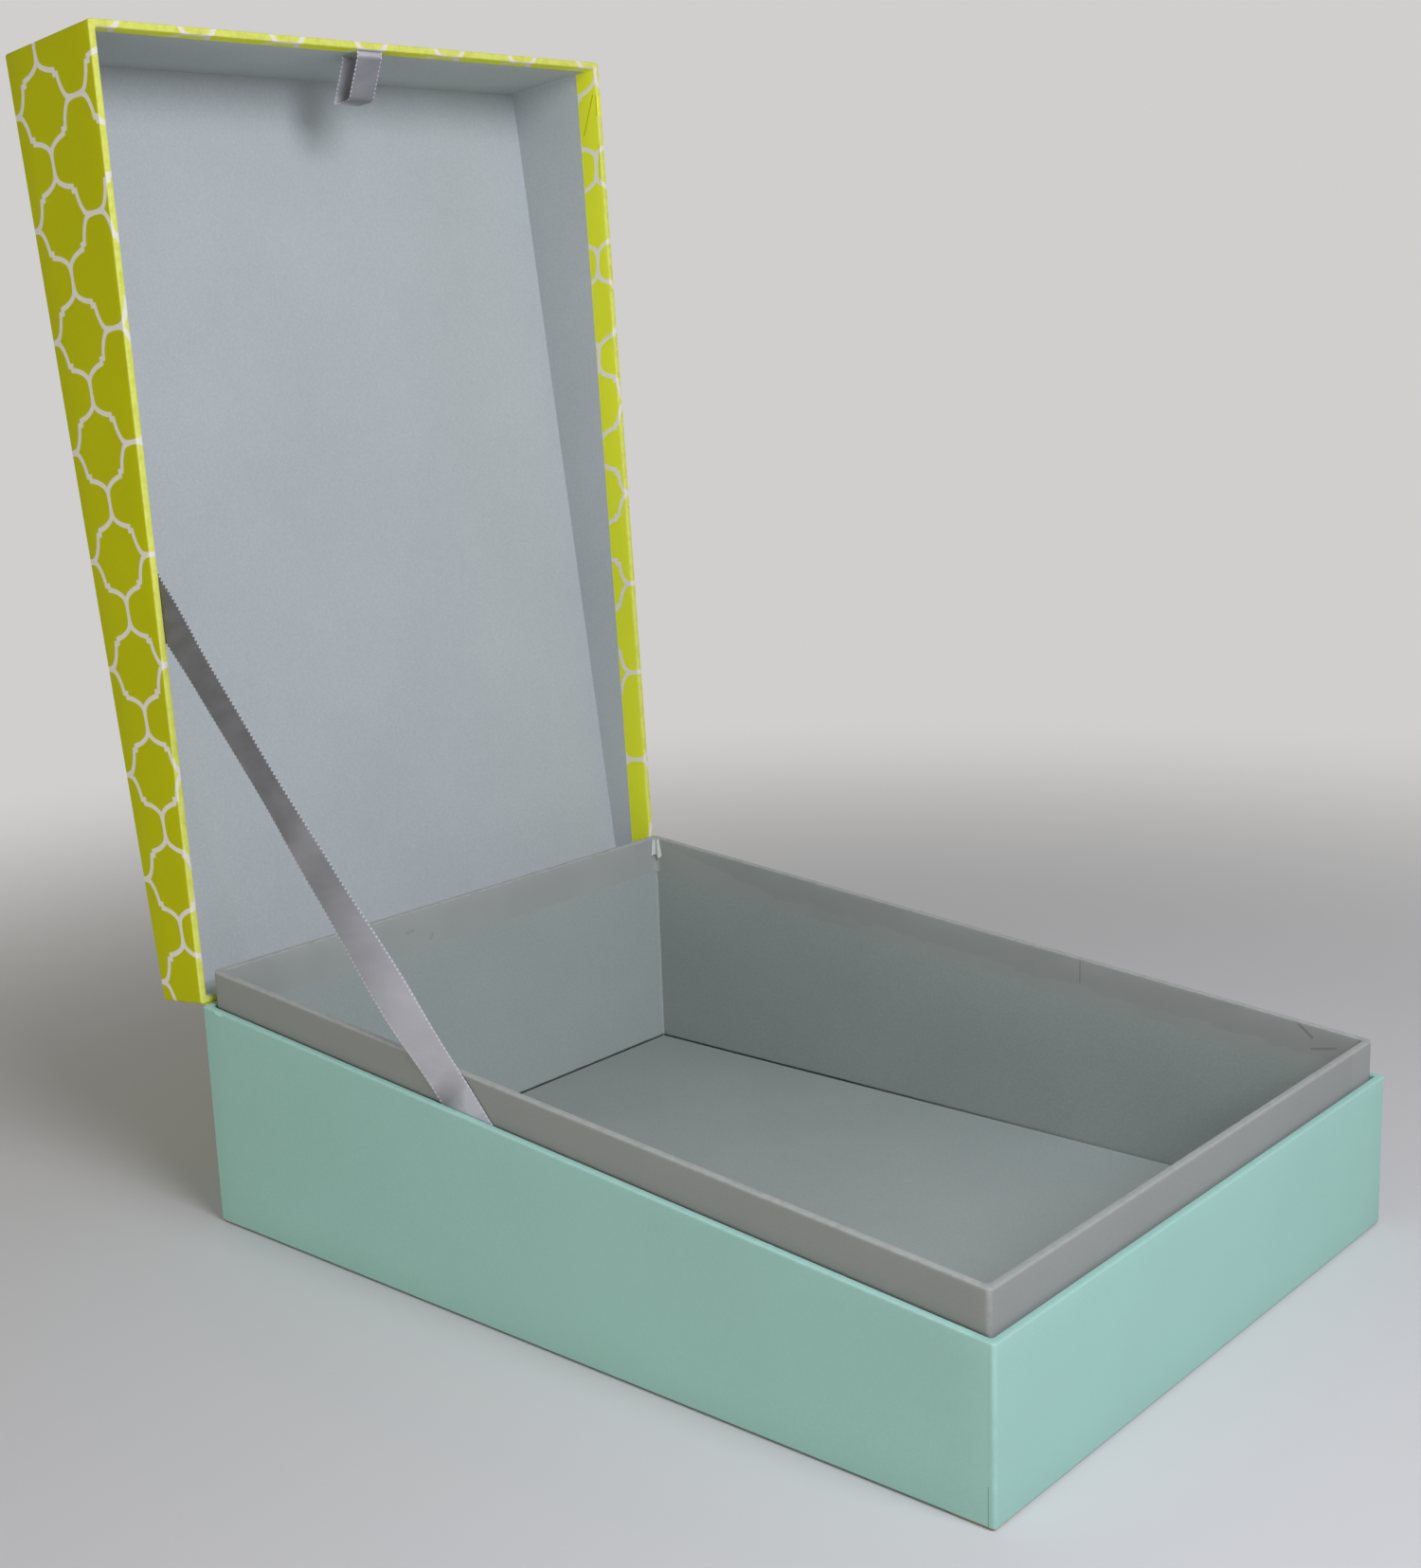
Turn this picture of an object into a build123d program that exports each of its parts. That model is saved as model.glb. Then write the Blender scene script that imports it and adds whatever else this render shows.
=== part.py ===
from build123d import *
import os
from math import atan, atan2, cos, degrees, hypot, radians, sin

# A hinged document box of paper-wrapped greyboard, standing open.
# Millimetres. X runs from the hinge end to the free end, Y from the near side
# to the far side, Z up. The origin is the middle of the underside.
# The opening slopes: the base is tall at the hinge end and low at the free end,
# and the lid the other way round, so that the shut box is a plain block.
# The lid is drawn shut, rim down on the base, and then swung open as one.
# A rim is given as two heights, one over each end of the box, hinge end first.

# Outside of the box
box_length = 330.0
box_width = 238.0
base_hinge_height = 81.0
base_front_height = 53.0
lid_hinge_height = 22.7
lid_open_angle = 97.0

# Sheet materials
board = 2.0
neck_board = 2.0
pad_board = 1.5
paper = 0.2
stay_tape = 0.1
ribbon_thickness = 0.3

# How the trays sit on each other
neck_rise = 12.8
neck_gap = 0.7
rim_gap = 0.3

# Rounding of the wrapped edges
corner_radius = 1.2
neck_corner_radius = 2.0
inside_corner_radius = 0.6
rim_round = 0.4

# How far the papers are turned over the edges
base_turn_in = 12.0
base_turn_under = 15.0
lid_turn_in = 10.5
neck_turn_in = 15.0
pad_turn_under = 12.0

# Bottom sheet, corner stays and loose floor pad
bottom_sheet_inset = 3.0
stay_leg = 14.0
stay_short = 1.0
pad_gap = 0.5
pad_corner_radius = 0.8

# Paper hinge along the short side
hinge_leaf_width = 20.0
hinge_leaf_inset = 1.5

# Ribbon that stops the lid, on the near side
stay_lid_reach = 139.0
stay_base_reach = 132.0
stay_ribbon_width = 15.5
stay_tail = 20.0

# Ribbon loop that the lid is lifted by
tab_ribbon_width = 11.5
tab_drop = 16.0
tab_lean = 8.5
tab_spread = 9.0
tab_edge = 1.9
tab_foot = 1.5
tab_seat = 0.2
tab_foot_bend = 0.7
tab_curl_share = 0.4

# Insets from the outside face to each layer of the walls
board_face = paper + stay_tape
wall_inner = board_face + board
wall_face = wall_inner + paper
neck_face = wall_face + neck_gap
neck_outer = neck_face + paper
neck_inner = neck_outer + neck_board
lining_face = neck_inner + paper

# Levels
shut_height = base_hinge_height + rim_gap + lid_hinge_height
base_floor_level = 2 * paper
base_floor_top = base_floor_level + board
pad_top = base_floor_top + paper + pad_board + paper

# Rims, each as its height over the hinge end and over the free end
base_rim = (base_hinge_height, base_front_height)
neck_rim = (base_hinge_height + neck_rise, base_front_height + neck_rise)
lid_rim = (lid_hinge_height, shut_height - base_front_height - rim_gap)

# Hinge line, in the middle of the hinge paper and of the gap at the rims
hinge_x = -box_length / 2 - paper / 2
hinge_z = base_hinge_height + rim_gap / 2
hinge_axis = Axis((hinge_x, 0, hinge_z), (0, 1, 0))


def block(x_low, x_high, y_low, y_high, z_low, z_high):
    """A plain box between six planes."""
    middle = Pos((x_low + x_high) / 2, (y_low + y_high) / 2, (z_low + z_high) / 2)
    return middle * Box(x_high - x_low, y_high - y_low, z_high - z_low)


def prism(inset, radius, z_low, z_high):
    """An upright block on the box's outline, drawn in by an inset."""
    length = box_length - 2 * inset
    width = box_width - 2 * inset
    outline = RectangleRounded(length, width, radius) if radius else Rectangle(length, width)
    return Pos(0, 0, z_low) * extrude(outline, z_high - z_low)


def ring(outer_inset, outer_radius, inner_inset, inner_radius, z_low, z_high):
    """The band between two insets of the box's outline."""
    outer = prism(outer_inset, outer_radius, z_low, z_high)
    return outer - prism(inner_inset, inner_radius, z_low, z_high)


def lowered(rim, drop):
    """A rim moved down by the same drop at both ends."""
    return rim[0] - drop, rim[1] - drop


def cut_to_rim(shape, rim):
    """Keep what lies under the sloping plane of a rim."""
    slope = Plane(origin=(-box_length / 2, 0, rim[0]),
                  x_dir=(box_length, 0, rim[1] - rim[0]),
                  z_dir=(rim[0] - rim[1], 0, box_length))
    return split(shape, bisect_by=slope, keep=Keep.BOTTOM)


def wedge(inset, radius, z_low, rim):
    """An upright block with a sloping top."""
    return cut_to_rim(prism(inset, radius, z_low, max(rim) + board), rim)


def rim_ring(outer_inset, outer_radius, inner_inset, inner_radius, z_low, rim):
    """A band between two insets with a sloping top."""
    band = ring(outer_inset, outer_radius, inner_inset, inner_radius, z_low, max(rim) + board)
    return cut_to_rim(band, rim)


def rounded_rim(band, radius):
    """A band whose two top edges are rounded."""
    rim_edges = band.faces().sort_by(Axis.Z)[-1].edges()
    return fillet(rim_edges, radius)


def split_walls(band, inner_inset):
    """Cut a band into end walls of full width and side walls between them."""
    x_inner = box_length / 2 - inner_inset
    x_outer = box_length / 2
    y_outer = box_width / 2
    box = band.bounding_box()
    z_low = box.min.Z
    z_high = box.max.Z
    return {
        "front": band & block(x_inner, x_outer, -y_outer, y_outer, z_low, z_high),
        "hinge": band & block(-x_outer, -x_inner, -y_outer, y_outer, z_low, z_high),
        "low_y": band & block(-x_inner, x_inner, -y_outer, 0, z_low, z_high),
        "high_y": band & block(-x_inner, x_inner, 0, y_outer, z_low, z_high),
    }


def tray_walls(rim, floor_level):
    """Four wall boards of a tray, standing on its floor board, rim up."""
    radius = corner_radius - board_face
    band = rim_ring(board_face, radius, wall_inner, 0,
                    floor_level + board, lowered(rim, paper))
    return split_walls(band, wall_inner)


def tray_floor(floor_level):
    """The floor board of a tray."""
    return prism(board_face, corner_radius - board_face, floor_level, floor_level + board)


def tray_stays(rim, floor_level):
    """Paper tapes folded round the four upright corners of a tray."""
    radius = corner_radius - paper
    band = rim_ring(paper, radius, board_face, radius - stay_tape,
                    floor_level, lowered(rim, stay_short))
    x_outer = box_length / 2
    y_outer = box_width / 2
    z_high = max(rim)
    across = block(-x_outer, x_outer, -y_outer + stay_leg, y_outer - stay_leg, 0, z_high)
    along = block(-x_outer + stay_leg, x_outer - stay_leg, -y_outer, y_outer, 0, z_high)
    return band - across - along


def tray_skin(rim, turn_in, skin_bottom, floor_level):
    """Covering paper on a tray's walls, over the rim and down inside."""
    envelope = rounded_rim(
        rim_ring(0, corner_radius, wall_face, inside_corner_radius, skin_bottom, rim),
        rim_round)
    core = rim_ring(paper, corner_radius - paper, wall_inner, 0,
                    floor_level, lowered(rim, paper))
    below_turn_in = wedge(wall_inner, 0, skin_bottom, lowered(rim, turn_in))
    return envelope - core - below_turn_in


def base_bottom_sheet():
    """Paper under the base, let down into the window of the turned-under wrap."""
    sheet = prism(bottom_sheet_inset, corner_radius, 0, paper)
    window = prism(base_turn_under, corner_radius, paper, base_floor_level)
    return sheet + window


def base_wrap():
    """Covering paper of the base, turned in at the rim and under the floor."""
    skin = tray_skin(base_rim, base_turn_in, paper, base_floor_level)
    under = ring(0, corner_radius, base_turn_under, corner_radius, paper, base_floor_level)
    return skin + under


def lid_wrap():
    """Covering paper of the lid, closed over its top, still rim up."""
    skin = tray_skin(lid_rim, lid_turn_in, 0, paper)
    return skin + prism(0, corner_radius, 0, paper)


def neck_band():
    """Wall boards of the neck as one band."""
    return rim_ring(neck_outer, neck_corner_radius - paper, neck_inner, 0,
                    base_floor_top, lowered(neck_rim, paper))


def neck_wrap():
    """Covering paper of the neck, over its rim and down inside."""
    envelope = rounded_rim(
        rim_ring(neck_face, neck_corner_radius, lining_face, inside_corner_radius,
                 base_floor_top, neck_rim),
        rim_round)
    below_turn_in = wedge(neck_inner, 0, base_floor_top, lowered(neck_rim, neck_turn_in))
    return envelope - neck_band() - below_turn_in


def wall_lining():
    """Strip of lining paper round the inside of the neck, below the turn-in."""
    return rim_ring(neck_inner, 0, lining_face, inside_corner_radius,
                    base_floor_top, lowered(neck_rim, neck_turn_in))


def pad_core():
    """Board inside the floor pad."""
    inset = lining_face + pad_gap + paper
    return prism(inset, pad_corner_radius, base_floor_top + paper, pad_top - paper)


def pad_cover():
    """Paper round the floor pad, turned under its edges."""
    inset = lining_face + pad_gap
    cover = prism(inset, pad_corner_radius + paper, base_floor_top, pad_top)
    window = prism(inset + pad_turn_under, pad_corner_radius,
                   base_floor_top, base_floor_top + paper)
    return cover - pad_core() - window


def lid_panel_lining():
    """Sheet of lining paper on the inside of the lid's board, still rim up."""
    level = paper + board
    return prism(wall_inner, 0, level, level + paper)


def lid_wall_lining():
    """Strip of lining paper round the inside of the lid's walls, still rim up."""
    return rim_ring(wall_inner, 0, wall_face, inside_corner_radius,
                    paper + board + paper, lowered(lid_rim, lid_turn_in))


def hinge_leaf(z_low, z_high):
    """One leaf of the paper hinge, on the outside of the hinge wall."""
    x_high = -box_length / 2
    y_side = box_width / 2 - hinge_leaf_inset
    return block(x_high - paper, x_high, -y_side, y_side, z_low, z_high)


def pull_tab():
    """Ribbon loop on the inside of the lid's free end, with the lid shut."""
    wall_x = box_length / 2 - wall_face
    x_start = wall_x - tab_seat
    x_foot = x_start - tab_foot
    x_end = wall_x - tab_drop
    z_first = base_front_height + rim_gap + tab_edge
    z_second = z_first + tab_spread
    points = [
        (x_start, 0, z_first),
        (x_foot, 0, z_first),
        (x_end, 0, z_first + tab_lean),
        (x_end, 0, z_second + tab_lean),
        (x_foot, 0, z_second),
        (x_start, 0, z_second),
    ]
    curl = tab_curl_share * tab_spread
    route = FilletPolyline(*points, radius=[tab_foot_bend, curl, curl, tab_foot_bend])
    section = Plane(origin=(x_start, 0, z_first), x_dir=(0, 1, 0), z_dir=(-1, 0, 0))
    return sweep(section * Rectangle(tab_ribbon_width, ribbon_thickness), path=route)


def stay_ends():
    """Where the stay ribbon leaves the base rim and the open lid's rim."""
    rim_fall = (base_hinge_height - base_front_height) / box_length
    angle = radians(lid_open_angle) - atan(rim_fall)
    base_end = (-box_length / 2 + stay_base_reach, base_hinge_height - rim_fall * stay_base_reach)
    lid_end = (hinge_x + stay_lid_reach * cos(angle), hinge_z + stay_lid_reach * sin(angle))
    return base_end, lid_end


def ribbon_stay():
    """Flat ribbon held tight between the near walls of the lid and the base."""
    base_end, lid_end = stay_ends()
    run_x = lid_end[0] - base_end[0]
    run_z = lid_end[1] - base_end[1]
    middle_x = (lid_end[0] + base_end[0]) / 2
    middle_z = (lid_end[1] + base_end[1]) / 2
    middle_y = -box_width / 2 + wall_face + neck_gap / 2
    ribbon = Box(hypot(run_x, run_z) + 2 * stay_tail, ribbon_thickness, stay_ribbon_width)
    slope = degrees(atan2(run_z, run_x))
    return Pos(middle_x, middle_y, middle_z) * Rot(0, -slope, 0) * ribbon


def swing_open(shape):
    """Turn a piece of the shut lid to where it stands open."""
    return shape.rotate(hinge_axis, -lid_open_angle)


def lid_place(shape):
    """Turn a rim-up piece of the lid over onto the base and swing it open."""
    shut = Pos(0, 0, shut_height) * Rot(180, 0, 0) * shape
    return swing_open(shut)


def base_parts():
    """Pieces of the base tray, its neck and its floor pad."""
    walls = tray_walls(base_rim, base_floor_level)
    neck = split_walls(neck_band(), neck_inner)
    return {
        "base_bottom_sheet": base_bottom_sheet(),
        "base_floor_board": tray_floor(base_floor_level),
        "base_front_board": walls["front"],
        "base_hinge_board": walls["hinge"],
        "base_near_board": walls["low_y"],
        "base_far_board": walls["high_y"],
        "base_corner_stays": tray_stays(base_rim, base_floor_level),
        "base_wrap": base_wrap(),
        "neck_front_board": neck["front"],
        "neck_hinge_board": neck["hinge"],
        "neck_near_board": neck["low_y"],
        "neck_far_board": neck["high_y"],
        "neck_wrap": neck_wrap(),
        "base_wall_lining": wall_lining(),
        "floor_pad_board": pad_core(),
        "floor_pad_cover": pad_cover(),
        "hinge_base_leaf": hinge_leaf(base_hinge_height - hinge_leaf_width, base_hinge_height),
    }


def lid_parts():
    """Pieces of the lid, each swung open. Turned over, its low side is far."""
    walls = tray_walls(lid_rim, paper)
    leaf_level = base_hinge_height + rim_gap
    return {
        "lid_top_board": lid_place(tray_floor(paper)),
        "lid_front_board": lid_place(walls["front"]),
        "lid_hinge_board": lid_place(walls["hinge"]),
        "lid_near_board": lid_place(walls["high_y"]),
        "lid_far_board": lid_place(walls["low_y"]),
        "lid_corner_stays": lid_place(tray_stays(lid_rim, paper)),
        "lid_wrap": lid_place(lid_wrap()),
        "lid_panel_lining": lid_place(lid_panel_lining()),
        "lid_wall_lining": lid_place(lid_wall_lining()),
        "hinge_lid_leaf": swing_open(hinge_leaf(leaf_level, leaf_level + hinge_leaf_width)),
        "pull_tab": swing_open(pull_tab()),
        "ribbon_stay": ribbon_stay(),
    }


os.makedirs("parts", exist_ok=True)
for name, shape in {**base_parts(), **lid_parts()}.items():
    export_step(shape, f"parts/{name}.step")
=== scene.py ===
from math import atan, cos, hypot, pi, radians, sin

import bmesh
import bpy
from bpy.props import FloatProperty, FloatVectorProperty, PointerProperty
from mathutils import Matrix, Vector


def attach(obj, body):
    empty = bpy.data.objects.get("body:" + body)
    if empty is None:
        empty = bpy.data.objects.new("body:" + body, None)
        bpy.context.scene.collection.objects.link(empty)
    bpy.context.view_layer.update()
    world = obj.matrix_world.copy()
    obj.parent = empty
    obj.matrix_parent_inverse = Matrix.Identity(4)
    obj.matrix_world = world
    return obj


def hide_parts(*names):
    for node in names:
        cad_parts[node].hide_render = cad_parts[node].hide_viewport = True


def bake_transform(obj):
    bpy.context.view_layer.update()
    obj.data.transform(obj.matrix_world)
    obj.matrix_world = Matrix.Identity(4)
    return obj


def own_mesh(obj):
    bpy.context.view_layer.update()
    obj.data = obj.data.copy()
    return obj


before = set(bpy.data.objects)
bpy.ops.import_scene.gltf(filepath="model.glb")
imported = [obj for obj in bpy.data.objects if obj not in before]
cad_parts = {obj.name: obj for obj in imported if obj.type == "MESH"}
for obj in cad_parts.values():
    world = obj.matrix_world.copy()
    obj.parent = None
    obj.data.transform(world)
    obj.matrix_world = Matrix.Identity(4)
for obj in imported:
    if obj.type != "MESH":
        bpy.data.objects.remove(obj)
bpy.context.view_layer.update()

bl_info = {
    "name": "Document Box",
    "version": (1, 0, 0),
    "blender": (4, 5, 0),
    "location": "View3D > Sidebar > Document Box",
    "description": "Papers, ribbons and finishes of an open document box with a sloping rim",
    "category": "Object",
}


def shade(red, green, blue):
    """A colour written as a picture editor shows it, from 0 to 255, made linear."""
    parts = []
    for value in (red / 255, green / 255, blue / 255):
        parts.append(value / 12.92 if value <= 0.04045 else ((value + 0.055) / 1.055) ** 2.4)
    return tuple(parts)


def length_of(name, text, value):
    """A length that the panel shows in metres."""
    return FloatProperty(name=name, description=text, default=value, min=0.0, unit="LENGTH",
                         subtype="DISTANCE", precision=5)


def colour_of(name, text, value):
    """A colour that the panel shows as a swatch."""
    return FloatVectorProperty(name=name, description=text, default=value, size=3, min=0.0,
                               max=1.0, subtype="COLOR")


BACKDROP = shade(208, 207, 205)
# Lime paper on the rims, rubbed paler with a painted highlight; lime painted paler where it is turned
# in, as painted light and reflection; and the torn edge of the neck's paper
WORN_LIME_PAINTED_HIGHLIGHT = shade(236, 240, 122)
INNER_LIME_PAINTED_LIGHT = shade(235, 241, 52)
TORN_PAPER = shade(158, 156, 152)
# How much the rims of the base and of the neck are rubbed paler, and how much paler at the free end
BASE_WEAR = (0.6, 0.2)
NECK_WEAR = (0.75, 0.5)
# How far the sheet slipped towards the far wall as it was folded, in metres
FAR_SHIFT = 0.0028
# Lowest and highest corner of the floor pad
PAD_LOW = (-0.1589, -0.1129, 0.0024)
PAD_HIGH = (0.1589, 0.1129, 0.0043)
# Each lamp's name, place, aim, diameter, power and colour, and whether shiny surfaces show it,
# because the low soft one would leave a bright patch on the table seen from behind
LAMPS = (("window", (0.74, -0.20, 0.68), (0, 0, 0.10), 0.5, 6.4, (0.95, 0.98, 1.09), True),
         ("room", (0.0, -1.0, 0.08), (0, 0, 0.05), 0.4, 2.4, (1.0, 1.0, 0.94), False))
ROOM_LIGHT = (0.98, 0.985, 0.97, 1.0)
ROOM_STRENGTH = 0.265
# The photograph's camera, fitted to the box's corners: its place and where it points
CAMERA_PLACE = (0.44165, -0.53777, 0.31321)
CAMERA_RIGHT = (0.758076, 0.651165, -0.036116)
CAMERA_UP = (-0.115110, 0.188107, 0.975380)
CAMERA_BACK = (0.641927, -0.735255, 0.217555)
CAMERA_LENS = 48.82


class DocumentBoxSizes(bpy.types.PropertyGroup):
    """Sizes of the box and of its papers and ribbons."""
    length: length_of("Length", "Outside length, hinge end to free end", 0.330)
    width: length_of("Width", "Outside width", 0.238)
    shut_height: length_of("Shut height", "Outside height with the lid shut", 0.104)
    hinge_height: length_of("Base height at hinge", "Height of the base's rim at the hinge", 0.081)
    front_height: length_of("Base height at free end", "Height of the base's rim at its low end", 0.053)
    neck_rise: length_of("Neck rise", "How far the neck stands above the base's rim", 0.0128)
    rim_gap: length_of("Rim gap", "Gap between the shut rims", 0.0003)
    wall: length_of("Wall", "Thickness of a covered wall", 0.0025)
    neck_inset: length_of("Neck inset", "From the outside to the neck's outer face", 0.0032)
    neck_wall: length_of("Neck wall", "Thickness of the covered neck", 0.0024)
    paper: length_of("Paper", "Thickness of a covering paper", 0.0002)
    corner: length_of("Corner", "Rounding of the covered corners", 0.0012)
    neck_corner: length_of("Neck corner", "Rounding of the neck's corners", 0.0020)
    rim_round: length_of("Rim rounding", "Rounding of the covered rims", 0.0005)
    foot_round: length_of("Foot rounding", "Rounding of the base's lowest edges", 0.0009)
    base_turn_in: length_of("Base turn-in", "Paper turned in at the base's rim", 0.012)
    lid_turn_in: length_of("Lid turn-in", "Paper turned in at the lid's rim", 0.0105)
    neck_turn_in: length_of("Neck turn-in", "Paper turned in at the neck's rim", 0.015)
    pattern_along: length_of("Pattern along", "Repeat of the trellis along the lid", 0.0377)
    pattern_across: length_of("Pattern across", "Repeat of the trellis across the lid", 0.0382)
    pattern_line: length_of("Pattern line", "Width of the trellis line", 0.00175)
    stay_width: length_of("Stay width", "Width of the ribbon that stops the lid", 0.0155)
    tab_width: length_of("Tab width", "Width of the lifting ribbon", 0.0115)
    ribbon: length_of("Ribbon", "Thickness of the ribbons", 0.00025)
    open_angle: FloatProperty(name="Open angle", description="How far the lid stands open",
                              default=radians(97), min=0.0, max=pi, subtype="ANGLE")


class DocumentBoxColours(bpy.types.PropertyGroup):
    """Colours of the papers and ribbons."""
    mint: colour_of("Mint", "Covering paper of the base", shade(158, 198, 186))
    lime: colour_of("Lime", "Ground of the lid's covering paper", shade(195, 196, 0))
    lattice: colour_of("Lattice", "Trellis on the lid's paper", shade(240, 234, 218))
    neck: colour_of("Neck grey", "Covering paper of the neck", shade(146, 147, 143))
    neck_inside: colour_of("Neck inside", "Neck paper where it is turned in", shade(170, 173, 168))
    base_lining: colour_of("Base lining", "Lining and floor pad of the base", shade(168, 176, 171))
    lid_lining: colour_of("Lid lining", "Lining of the lid", shade(188, 194, 195))
    ribbon: colour_of("Ribbon grey", "Satin ribbons", shade(128, 127, 132))
    board: colour_of("Greyboard", "Raw board under the papers", shade(150, 146, 136))
    tape: colour_of("Corner tape", "Gummed tape on the corners", shade(190, 170, 135))
    table: colour_of("Table", "Surface that the box stands on", shade(218, 215, 214))


def sizes():
    """The panel's sizes."""
    return bpy.context.scene.document_box_sizes


def colours():
    """The panel's colours."""
    return bpy.context.scene.document_box_colours


# Surfaces

class Nodes:
    """A node tree, with the few kinds of node that the surfaces are made of."""

    def __init__(self, tree):
        self.tree = tree
        tree.nodes.clear()

    def give(self, socket, value):
        """Link a socket to another, or set it."""
        if isinstance(value, bpy.types.NodeSocket):
            self.tree.links.new(value, socket)
        else:
            socket.default_value = value

    def add(self, kind, inputs=None, **settings):
        """Add a node, with its settings, and fill or link its inputs."""
        made = self.tree.nodes.new(kind)
        for key, value in settings.items():
            setattr(made, key, value)
        for key, value in (inputs or {}).items():
            self.give(made.inputs[key], value)
        return made

    def math(self, operation, *values, clamp=False):
        """One Math node's result."""
        made = self.add("ShaderNodeMath", dict(enumerate(values)), operation=operation, use_clamp=clamp)
        return made.outputs[0]

    def plus(self, first, second):
        """Sum of two values."""
        return self.math("ADD", first, second)

    def less(self, first, second):
        """First value less the second."""
        return self.math("SUBTRACT", first, second)

    def times(self, first, second):
        """Product of two values."""
        return self.math("MULTIPLY", first, second)

    def vector(self, operation, first, second=None, result="Vector"):
        """One Vector Math node's result."""
        inputs = {0: first}
        if second is not None:
            inputs["Scale" if operation == "SCALE" else 1] = second
        return self.add("ShaderNodeVectorMath", inputs, operation=operation).outputs[result]

    def step(self, value, low, high):
        """Smooth step of a value from 0 at low to 1 at high."""
        made = self.add("ShaderNodeMapRange", {"Value": value, "From Min": low, "From Max": high},
                        interpolation_type="SMOOTHSTEP")
        return made.outputs["Result"]

    def mix(self, share, first, second):
        """Mix of two colours by a share."""
        made = self.add("ShaderNodeMix", data_type="RGBA")
        self.give(made.inputs[0], share)
        for socket, value in ((made.inputs[6], first), (made.inputs[7], second)):
            plain = not isinstance(value, bpy.types.NodeSocket)
            self.give(socket, (*value[:3], 1.0) if plain else value)
        return made.outputs[2]

    def noise(self, place, scale, detail=3.0, roughness=0.55):
        """Noise at a scale given in cycles per metre."""
        made = self.add("ShaderNodeTexNoise", {"Vector": place, "Scale": scale, "Detail": detail,
                                               "Roughness": roughness})
        return made.outputs["Fac"]

    def axes(self, place):
        """The three parts of a place."""
        return self.add("ShaderNodeSeparateXYZ", {0: place}).outputs

    def joined(self, first, second):
        """A place from its first two parts."""
        return self.add("ShaderNodeCombineXYZ", {0: first, 1: second}).outputs[0]

    def flat(self, name):
        """A piece's own flat coordinates, from the UV map of that name."""
        return self.add("ShaderNodeUVMap", uv_map=name).outputs[0]

    def seen_directly(self):
        """Whether a ray comes from the camera, or off or through a shiny surface."""
        path = self.add("ShaderNodeLightPath").outputs
        shiny = self.math("MAXIMUM", path["Is Glossy Ray"], path["Is Transmission Ray"])
        return self.math("MAXIMUM", path["Is Camera Ray"], shiny)


class Surface(Nodes):
    """A material's nodes: a shader, its output and Object coordinates."""

    def __init__(self, name):
        self.material = bpy.data.materials.new(name)
        self.material.use_nodes = True
        super().__init__(self.material.node_tree)
        self.shader = self.add("ShaderNodeBsdfPrincipled")
        self.output = self.add("ShaderNodeOutputMaterial", {"Surface": self.shader.outputs[0]})
        self.place = self.add("ShaderNodeTexCoord").outputs["Object"]

    def fill(self, **values):
        """Fill the shader's inputs, named with underscores for spaces."""
        for name, value in values.items():
            self.give(self.shader.inputs[name.replace("_", " ")], value)

    def bump(self, height, strength):
        """Drive the shader's normal by a height in metres."""
        made = self.add("ShaderNodeBump", {"Height": height, "Distance": 1.0, "Strength": strength})
        self.fill(Normal=made.outputs[0])

    def waved(self, grain, grain_height, wave_scale, wave_height):
        """Bump of a glued paper: its own fine grain, and slow waves."""
        waves = self.noise(self.place, wave_scale, 2.0, 0.4)
        self.bump(self.plus(self.times(grain, grain_height), self.times(waves, wave_height)), 0.35)

    def paper(self, colour, mottle=0.05, fleck=0.12):
        """Paper's colour, with slow clouds and fine flecks, and the noise of its fibres."""
        clouds = self.noise(self.place, 22.0)
        fibres = self.noise(self.place, 1400.0, 2.0, 0.7)
        cloudy = self.mix(clouds, tinted(colour, 1 - mottle), tinted(colour, 1 + mottle))
        share = self.times(self.step(fibres, 0.42, 0.70), fleck)
        return self.mix(share, cloudy, tinted(colour, 1.35)), fibres

    def past_rim(self):
        """How far a place of a folded paper is past its outer edge, going over the rim."""
        return self.axes(self.flat("fold"))[1]

    def crease(self, across, up, start, end, width):
        """A thin line between two places of a plane: 1 on it and 0 off it."""
        run = Vector((end[0] - start[0], end[1] - start[1], 0))
        reach = self.vector("SUBTRACT", self.joined(across, up), (*start, 0))
        share = self.vector("DOT_PRODUCT", reach, run / run.length_squared, "Value")
        nearest = self.vector("SCALE", run, self.math("ADD", share, 0.0, clamp=True))
        away = self.vector("DISTANCE", reach, nearest, "Value")
        return self.step(away, width / 2, width / 5)

    def lined(self, surface, colour, across, up, where, lines):
        """Draw a table of lines on the part of a surface where a share is 1."""
        for start, end, width, share, tint in lines:
            line = self.times(self.crease(across, up, start, end, width), where)
            surface = self.mix(self.times(line, share), surface, tinted(colour, tint))
        return surface


def tinted(colour, factor):
    """A colour made lighter or darker."""
    return tuple(min(1.0, part * factor) for part in colour)


def rim_wear(look, surface, worn, wall, reach, amount):
    """Lighten a covering paper where it is folded over the rim."""
    fold = look.flat("fold")
    middle = look.less(look.axes(fold)[1], wall / 2)
    near = look.step(look.less(look.math("ABSOLUTE", middle), wall / 2), reach, 0.0)
    rough = look.noise(fold, 260.0, 4.0, 0.65)
    share = look.times(near, look.step(rough, 0.05, 0.62))
    return look.mix(look.times(share, amount), surface, worn)


def turned_in(look, surface, inside, wall):
    """Colour of the paper that is turned in over a rim, cloudy where glue came through."""
    share = look.step(look.past_rim(), wall + 0.0002, wall + 0.0010)
    clouds = look.step(look.noise(look.place, 30.0), 0.35, 0.65)
    return look.mix(share, surface, look.mix(clouds, tinted(inside, 0.95), inside))


# Lines on a wall: both ends as places along and up, width, how strong and how light

# Painted shade along creases of the neck's paper on its far and near walls
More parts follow.
